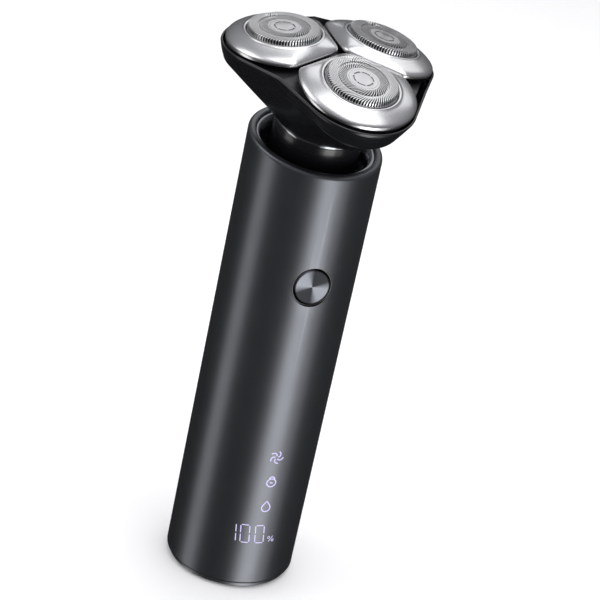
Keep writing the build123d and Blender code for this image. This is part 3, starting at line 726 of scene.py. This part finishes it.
def lockStrokes(line):
    size = lockIcon
    across, up = size["spot"]
    low = up - size["drop"]
    body = arcPoints((across, low), size["round"], 0, 348.75, 31, size["squash"])
    top = (across, up + size["shackleRise"])
    shackle = arcPoints(top, size["shackle"], 10, 170, 12, size["shackleStretch"])
    keyhole = [(across - size["slot"], low), (across + size["slot"], low)]
    return [strokeMesh(body, line, closed=True), strokeMesh(shackle, line), strokeMesh(keyhole, line)]


def dropStroke(line):
    size = dropIcon
    across, up = size["spot"]
    wide, high = size["shoulder"]
    outline = arcPoints((across, up - size["drop"]), size["round"], 145, 395, 24)
    outline += [(across + wide, up + high), (across, up + size["tip"]), (across - wide, up + high)]
    return strokeMesh(outline, line, closed=True)


def digitStrokes():
    low, high, gap, half = digits["low"], digits["high"], digits["gap"], digits["halfWide"]
    middle = (low + high) / 2
    halves = ((low + gap, middle - gap), (middle + gap, high - gap))

    def bar(x1, z1, x2, z2):
        start = Vector((x1 - digits["lean"] * (z1 - middle), z1))
        end = Vector((x2 - digits["lean"] * (z2 - middle), z2))
        points = [tuple(start.lerp(end, k / digits["steps"])) for k in range(digits["steps"] + 1)]
        return strokeMesh(points, digits["line"])

    strokes = [bar(digits["one"], z1, digits["one"], z2) for z1, z2 in halves]
    for centre in digits["zeros"]:
        strokes += [bar(x, z1, x, z2) for x in (centre - half, centre + half) for z1, z2 in halves]
        strokes += [bar(centre - half + gap, z, centre + half - gap, z) for z in (low, high)]
    return strokes


def percentStrokes():
    size, line = percent, digits["line"]
    x, z = size["across"], digits["low"] + size["rise"]
    (slashX, slashZ), (dotX, dotZ) = size["slash"], size["dot"]
    strokes = [strokeMesh([(x - slashX, z - slashZ), (x + slashX, z + slashZ)], line * size["slashLine"])]
    for spot in ((x - dotX, z + dotZ), (x + dotX, z - dotZ)):
        dot = arcPoints(spot, size["dotRound"], 0, 330, 11, size["dotStretch"])
        strokes.append(strokeMesh(dot, line * size["dotLine"], closed=True))
    return strokes


print("display")
makeDisplay()

# Collar: a glossy dish inside the rim; neck: a black tube with a bright ring.
collar = {"dish": ((14.3, -9.4), (14.4, -5.5), (14.9, -3.4), (15.7, -1.9), (16.5, -0.95), (16.75, -0.9)),
          "outer": 17.0, "low": -9.4, "top": -0.9, "around": 192}
neck = {"radius": 13.0, "foot": 9.8, "low": -13.4, "footHigh": -7.8, "shoulder": -7.0, "top": 4.6,
        "shaftHole": 2.4, "plate": 3.0, "bore": 10.8, "boreLow": -5.6, "boreFoot": (8.0, -7.4),
        "ringTop": 5.3, "ringRadius": 12.9, "ringInner": 9.0}


def makeCollar():
    rings, around = [], collar["around"]
    dish = collar["dish"]
    fine = [dish[0]]
    for i in range(1, len(dish)):
        before, here = Vector(dish[i - 1]), Vector(dish[i])
        fine += [tuple(before.lerp(here, t)) for t in (0.5, 1.0)]
    scale = Matrix.Scale(1 / mm, 4) @ headFrame @ Matrix.Scale(mm, 4)
    for radius, height in fine:
        rings.append([scale @ point for point in circlePoints(radius, height, around)])
    for height in (collar["top"], collar["low"]):
        ring = []
        for point in circlePoints(collar["outer"], 0, around):
            z = rimHeight + rimSlope * point.y + height / headUp.z
            ring.append(Vector((point.x, point.y, z)))
        rings.append(ring)
    dishPiece = finishMesh("collar_dish", stackRings(rings, loop=True), sharpAngle=50)
    fit(dishPiece, "handle", finishes["collar_gloss"], "collar_gloss", "top_collar")


def makeNeck():
    size = neck
    tube = [(size["boreFoot"][0], size["low"]), (size["foot"], size["low"]),
            (size["foot"], size["footHigh"]), (size["radius"], size["shoulder"], 0.3),
            (size["radius"], size["top"], 0.15), (size["shaftHole"], size["top"]),
            (size["shaftHole"], size["plate"]), (size["bore"], size["plate"]),
            (size["bore"], size["boreLow"]), size["boreFoot"]]
    fit(lathe("neck_sleeve", tube, headFrame), "neck", finishes["gloss_black"], "gloss_black", "neck_tube")
    ring = [(size["ringInner"], size["top"]), (size["ringRadius"], size["top"], 0.1),
            (size["ringRadius"], size["ringTop"], 0.22), (size["ringInner"], size["ringTop"])]
    fit(lathe("neck_band", ring, headFrame), "neck", brushed("neckBand", neckRingLook, headFrame),
        "rim_steel", "neck_ring")


# Bowl: a round foot that opens to three rounded tips, with a soft crease under an upright band.
bowl = {"foot": 12.8, "footHeight": 5.35, "creaseReach": 18.4, "creaseRadius": 12.8, "creaseTip": 16.5,
        "creaseValley": 20.0, "topReach": 16.1, "topRadius": 17.15, "lip": 0.6, "bulge": 1.12,
        "hexHole": 3.45, "wall": 1.5, "around": 240, "rimGap": 5.0, "climbFrom": 0.02, "climb": 0.93,
        "climbSteps": 14, "creaseSteps": 6, "creaseSoft": 0.2, "bandSteps": 5, "bandSwell": 0.12,
        "bandTop": 0.45, "lipDeep": 1.6, "unitReach": 17.25, "unitHeight": 29.7, "unitLean": 8.9}


def hullRadius(reach, radius, turn):
    # distance from the axis to the hull of three circles, turn measured from the nearest tip
    tangent = (reach + radius * 0.5, radius * sin(radians(60)))
    if tangent[1] * cos(turn) >= tangent[0] * sin(turn):
        return reach * cos(turn) + sqrt(radius ** 2 - (reach * sin(turn)) ** 2)
    return (reach / 2 + radius) / cos(radians(60) - turn)


def underUnit(radius, turn, depth):
    # height of the plane that lies this deep under the nearest unit
    lean = radians(bowl["unitLean"])
    out = radius * cos(turn) - bowl["unitReach"]
    return bowl["unitHeight"] - depth / cos(lean) - out * sin(lean) / cos(lean)


def bowlRings():
    size, rows = bowl, []
    for i in range(size["around"]):
        angle = 2 * pi * i / size["around"] - pi / 2
        turn = abs((angle + pi / 2 + pi / 3) % (2 * pi / 3) - pi / 3)
        valley = (1 - cos(3 * turn)) / 2
        creaseR = hullRadius(size["creaseReach"], size["creaseRadius"], turn)
        creaseH = size["creaseTip"] + (size["creaseValley"] - size["creaseTip"]) * valley
        topR = hullRadius(size["topReach"], size["topRadius"], turn)
        topH = underUnit(topR, turn, size["rimGap"])
        spots = [(size["hexHole"], size["footHeight"]), (size["foot"] - 0.6, size["footHeight"]),
                 (size["foot"] - 0.2, size["footHeight"] + 0.12)]
        for k in range(size["climbSteps"] + 1):
            t = size["climbFrom"] + size["climb"] * k / size["climbSteps"]
            spots.append((size["foot"] + (creaseR - size["foot"]) * t,
                          size["footHeight"] + (creaseH - size["footHeight"]) * t ** size["bulge"]))
        start, crease = Vector(spots[-1]), Vector((creaseR + 0.15, creaseH))
        end = crease.lerp(Vector((topR, topH)), size["creaseSoft"])
        for k in range(1, size["creaseSteps"] + 1):
            spots.append(tuple(bend(start, crease, end, k / size["creaseSteps"])))
        band = Vector((topR, topH - size["bandTop"]))
        for k in range(1, size["bandSteps"] + 1):
            t = k / size["bandSteps"]
            point = end.lerp(band, t)
            spots.append((point.x + size["bandSwell"] * sin(pi * t), point.y))
        spots += [(topR - 0.08, topH - 0.15), (topR - 0.25, topH), (topR - size["lip"] + 0.1, topH),
                  (topR - size["lip"], topH - 0.15), (topR - size["lip"] - 0.1, topH - size["lipDeep"]),
                  (creaseR - size["wall"], creaseH + 0.6),
                  (size["foot"] - 1.0, size["footHeight"] + size["wall"]),
                  (size["hexHole"], size["footHeight"] + size["wall"])]
        rows.append([Vector((r * cos(angle), r * sin(angle), h)) for r, h in spots])
    return [list(ring) for ring in zip(*rows)]


def makeBowl():
    shell = finishMesh("head_bowl_shell", stackRings(bowlRings(), loop=True), headFrame, 50)
    fit(shell, "head", finishes["gloss_black"], "gloss_black", "head_bowl")


print("collar, neck, bowl")
makeCollar()
makeNeck()
makeBowl()

# Shaving units: a bright cover, a slotted foil of two tracks, a cap.
cover = {"tipRadius": 16.6, "tipShift": -0.8, "side": 13.84, "sideTurn": 150, "corner": 55, "nose": 16,
         "thick": 0.6, "low": -4.65, "edge": -3.8, "crest": 11.3, "crestHeight": -1.3, "kneeIn": 0.9,
         "kneeHeight": -2.65, "slopeSteps": 12, "bore": 10.45, "seat": 0.95, "around": 240}
foil = {"outerRibs": 80, "innerRibs": 48, "ribHalf": 0.15, "ribDepth": 0.13, "lean": 26,
        "trackOut": 10.04, "trackIn": 7.3, "innerOut": 6.85, "innerIn": 4.4, "shoulder": 9.62,
        "shoulderTurn": 1.4, "outerShare": 0.42, "innerShare": 0.8, "innerRib": 0.8, "endDrop": 0.4,
        "endReach": 0.03, "steps": 3}
foilRings = {
    "wall": [(9.85, -3.95), (10.9, -3.95), (10.9, -3.6), (10.2, -3.6), (10.2, -1.5, 0.05), (9.85, -1.5)],
    "middle": [(6.7, -0.8), (7.45, -0.8), (7.45, -0.5, 0.05), (6.7, -0.5, 0.05)],
    "hub": [(4.22, -0.35), (4.5, -0.35), (4.5, -0.05, 0.04), (4.22, -0.05, 0.04)],
}
capSize = {"radius": 4.16, "flange": 4.6, "low": -0.9, "flangeHigh": -0.38, "ring": 2.75, "ringHalf": 0.2,
           "ringDepth": 0.3, "dashes": 6, "dashHalf": 0.28}


def outlineRadius(turn):
    # round tip and two straight sides, joined by a soft minimum
    shift, radius, power, nose = cover["tipShift"], cover["tipRadius"], cover["corner"], cover["nose"]
    tip = shift * cos(turn) + sqrt(radius ** 2 - (shift * sin(turn)) ** 2)
    facings = [cos(turn - radians(side)) for side in (cover["sideTurn"], -cover["sideTurn"])]
    sides = sum((max(facing, 0.01) / cover["side"]) ** nose for facing in facings) ** (-1 / nose)
    return (tip ** -power + sides ** -power) ** (-1 / power)


def makeCover(side):
    size, rows = cover, []
    crest, high = size["crest"], size["crestHeight"]
    for i in range(size["around"]):
        turn = 2 * pi * i / size["around"]
        out = outlineRadius(turn)
        inner = out - size["thick"]
        spots = [(inner, size["low"]), (out - 0.1, size["low"]), (out, size["low"] + 0.1),
                 (out, size["edge"] - 0.12), (out - 0.06, size["edge"])]
        start = Vector((out - 0.1, size["edge"] + 0.08))
        knee = Vector((out - size["kneeIn"], size["kneeHeight"]))
        foot = Vector((crest + 0.05, high - 0.22))
        for k in range(size["slopeSteps"] + 1):
            spots.append(tuple(bend(start, knee, foot, k / size["slopeSteps"])))
        spots += [(crest - 0.05, high - 0.12), (crest - 0.2, high - 0.02), (crest - 0.45, high + 0.02),
                  (size["bore"] + 0.25, high - 0.02), (size["bore"] + 0.06, high - 0.14),
                  (size["bore"], high - 0.35), (size["bore"], high - 0.9), (crest, high - size["seat"]),
                  (inner - 0.6, -3.0), (inner, size["edge"] - 0.3)]
        rows.append([Vector((r * cos(turn), r * sin(turn), h)) for r, h in spots])
    piece = finishMesh("rim_cover_" + side, stackRings([list(ring) for ring in zip(*rows)], loop=True),
                       unitFrames[side], 40)
    finish = brushed("coverSteel." + side, headLooks["rim"], unitFrames[side], circular=False)
    fit(piece, "unit_" + side, finish, "rim_steel", "rim_" + side)


def makeFoil(side):
    place, size = unitFrames[side], foil
    finish = brushed("foilSteel." + side, headLooks["foil"], place)
    pieces = [lathe("ring", profile, place, 120) for profile in foilRings.values()]
    depth, lean, steps = size["ribDepth"], size["lean"], size["steps"]
    mid, lowEnd = -depth, -depth - size["endDrop"]
    outer = [(size["trackOut"] - 0.02, -1.6, 0), (size["trackOut"] - 0.02, -0.62, 0), (9.9, -0.34, 0.3),
             (size["shoulder"], mid, size["shoulderTurn"])]
    for k in range(1, steps + 1):
        t = k / steps
        outer.append((size["shoulder"] + (size["trackIn"] - size["shoulder"]) * t, mid,
                      size["shoulderTurn"] + lean * size["outerShare"] * t))
    outer.append((size["trackIn"] - size["endReach"], lowEnd,
                  size["shoulderTurn"] + lean * size["outerShare"]))
    inner = [(size["innerOut"] + size["endReach"], lowEnd, 0)]
    inner += [(size["innerOut"] - (size["innerOut"] - size["innerIn"]) * k / steps, mid,
               lean * k / steps * size["innerShare"]) for k in range(steps + 1)]
    tracks = ((outer, size["ribHalf"], size["outerRibs"]),
              (inner, size["ribHalf"] * size["innerRib"], size["innerRibs"]))
    for path, half, count in tracks:
        pieces.append(repeatRound(sweepBar(path, half, depth), count, finish, place))
    fit(joinPieces("foil_mesh_" + side, pieces), "unit_" + side, finish, "foil_steel", "foil_" + side)


def makeCap(side):
    place, size = unitFrames[side], capSize
    finish = brushed("capSteel." + side, headLooks["cap"], place)
    ring, half, deep = size["ring"], size["ringHalf"], size["ringDepth"]
    profile = [(0, size["low"]), (size["flange"], size["low"]), (size["flange"], size["flangeHigh"]),
               (size["radius"], size["flangeHigh"]), (size["radius"], 0, 0.1), (ring + half, 0, 0.04),
               (ring + half, -deep), (ring - half, -deep), (ring - half, 0, 0.04), (0, 0)]
    disc = lathe("disc", profile, place, 96)
    dash = sweepBar([(ring - half, -deep / 2, 0), (ring + half, -deep / 2, 0)], size["dashHalf"], deep / 2)
    dashes = repeatRound(dash, size["dashes"], finish, place)
    cap = joinPieces("foil_hub_" + side, [disc, dashes])
    fit(cap, "unit_" + side, finish, "cap_steel", "foil_cap_" + side)


# Float springs: two open turns under each unit.
spring = {"radius": 9.3, "wire": 0.2, "rise": 1.3, "turns": 2, "low": -8.45, "steps": 128, "sides": 8,
          "travel": 0.5}


def makeSpring(side):
    size, place, rings = spring, unitFrames[side], []
    for i in range(size["steps"] + 1):
        share = i / size["steps"]
        turn = 2 * pi * size["turns"] * share
        out = Vector((cos(turn), sin(turn), 0))
        middle = out * size["radius"] + Vector((0, 0, size["low"] + size["rise"] * share))
        rings.append([middle + out * point.x + Vector((0, 0, point.y))
                      for point in circlePoints(size["wire"], 0, size["sides"])])
    coil = finishMesh("float_coil_" + side, stackRings(rings), place, 60)
    fit(coil, "head", finishes["screw_steel"], "screw_steel", "float_spring_" + side)
    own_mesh(coil)


def paintCutterShadeDark(side):
    # painted shade: the cutter gets a near-black steel look so the foil slots read dark
    mesh = nodes["cutter_" + side].data
    mesh.materials.clear()
    mesh.materials.append(brushed("cutterPaintedShade." + side, headLooks["cutter"], unitFrames[side]))


print("shaving units")
for side in unitAngles:
    makeCover(side)
    makeFoil(side)
    makeCap(side)
    makeSpring(side)
    paintCutterShadeDark(side)

# Studio: a pale floor, soft boxes that face the middle of the object, a pale surround.
target = Vector((0.0060, 0.0009, 0.0872))
cameraSpot = {"place": (-0.19326, -0.44891, 0.29754), "across": (0.92727, -0.31945, 0.19527),
              "back": (-0.37241, -0.84070, 0.39310), "lens": 109.6, "sensor": 36.0}
floorLook = {"colour": (0.88, 0.88, 0.89), "rough": 0.7, "grain": 0.2, "fineness": 60.0, "tone": 0.02,
             "depth": 0.0001}
surround = {"low": (0.01, 0.01, 0.011, 1), "high": (0.55, 0.56, 0.58, 1), "curve": 2.5,
            "white": (1.0, 1.0, 1.0, 1)}
# azimuth from +X towards +Y, elevation, distance, width, height, brightness
softBoxes = {
    "leftStrip": (174, -22, 0.9, 0.36, 1.1, 1.5),
    "rightStrip": (286, -22, 0.9, 0.40, 1.1, 2.9),
    "rightWide": (292, -24, 1.0, 1.0, 1.1, 0.9),
    "topBack": (52, 52, 0.9, 0.8, 0.6, 0.9),
    "topLeft": (165, 45, 0.9, 0.5, 0.5, 1.6),
    "overhead": (290, 74, 0.9, 0.7, 0.9, 1.6),
}


def makeStudio():
    mesh = bmesh.new()
    bmesh.ops.create_grid(mesh, x_segments=8, y_segments=8, size=6)
    data = bpy.data.meshes.new("floor")
    mesh.to_mesh(data)
    mesh.free()
    floor = newObject("floor", data)
    data.materials.append(moulded("floorPaper", floorLook))
    floor.visible_glossy = False
    floor.visible_shadow = False
    for name, (azimuth, elevation, distance, width, height, brightness) in softBoxes.items():
        light = bpy.data.lights.new(name, "AREA")
        light.shape, light.size, light.size_y = "RECTANGLE", width, height
        light.energy = brightness * pi * width * height
        box = newObject(name, light)
        a, e = radians(azimuth), radians(elevation)
        way = Vector((cos(a) * cos(e), sin(a) * cos(e), sin(e)))
        box.location = target + way * distance
        box.rotation_euler = way.to_track_quat("Z", "Y").to_euler()
    world = bpy.data.worlds.new("surround")
    world.use_nodes = True
    bpy.context.scene.world = world
    tree = world.node_tree
    back = tree.nodes["Background"]
    path, split = tree.nodes.new("ShaderNodeLightPath"), tree.nodes.new("ShaderNodeSeparateXYZ")
    tree.links.new(tree.nodes.new("ShaderNodeTexCoord").outputs["Generated"], split.inputs[0])
    rise = calc(tree, "POWER", calc(tree, "MULTIPLY_ADD", split.outputs[2], 0.5, 0.5), surround["curve"])
    mirrored = blendColour(tree, rise, surround["low"], surround["high"])
    lit = blendColour(tree, path.outputs["Is Diffuse Ray"], mirrored, surround["white"])
    seen = blendColour(tree, path.outputs["Is Camera Ray"], lit, surround["white"])
    tree.links.new(seen, back.inputs["Color"])


def makeCamera():
    spot = cameraSpot
    lens = bpy.data.cameras.new("camera")
    lens.lens, lens.sensor_width = spot["lens"], spot["sensor"]
    lens.clip_start = 0.01
    camera = newObject("camera", lens)
    camera.matrix_world = makeFrame(spot["place"], spot["back"], spot["across"])
    bpy.context.scene.camera = camera
    bpy.context.scene.view_settings.view_transform = "Standard"


print("studio")
makeStudio()
makeCamera()
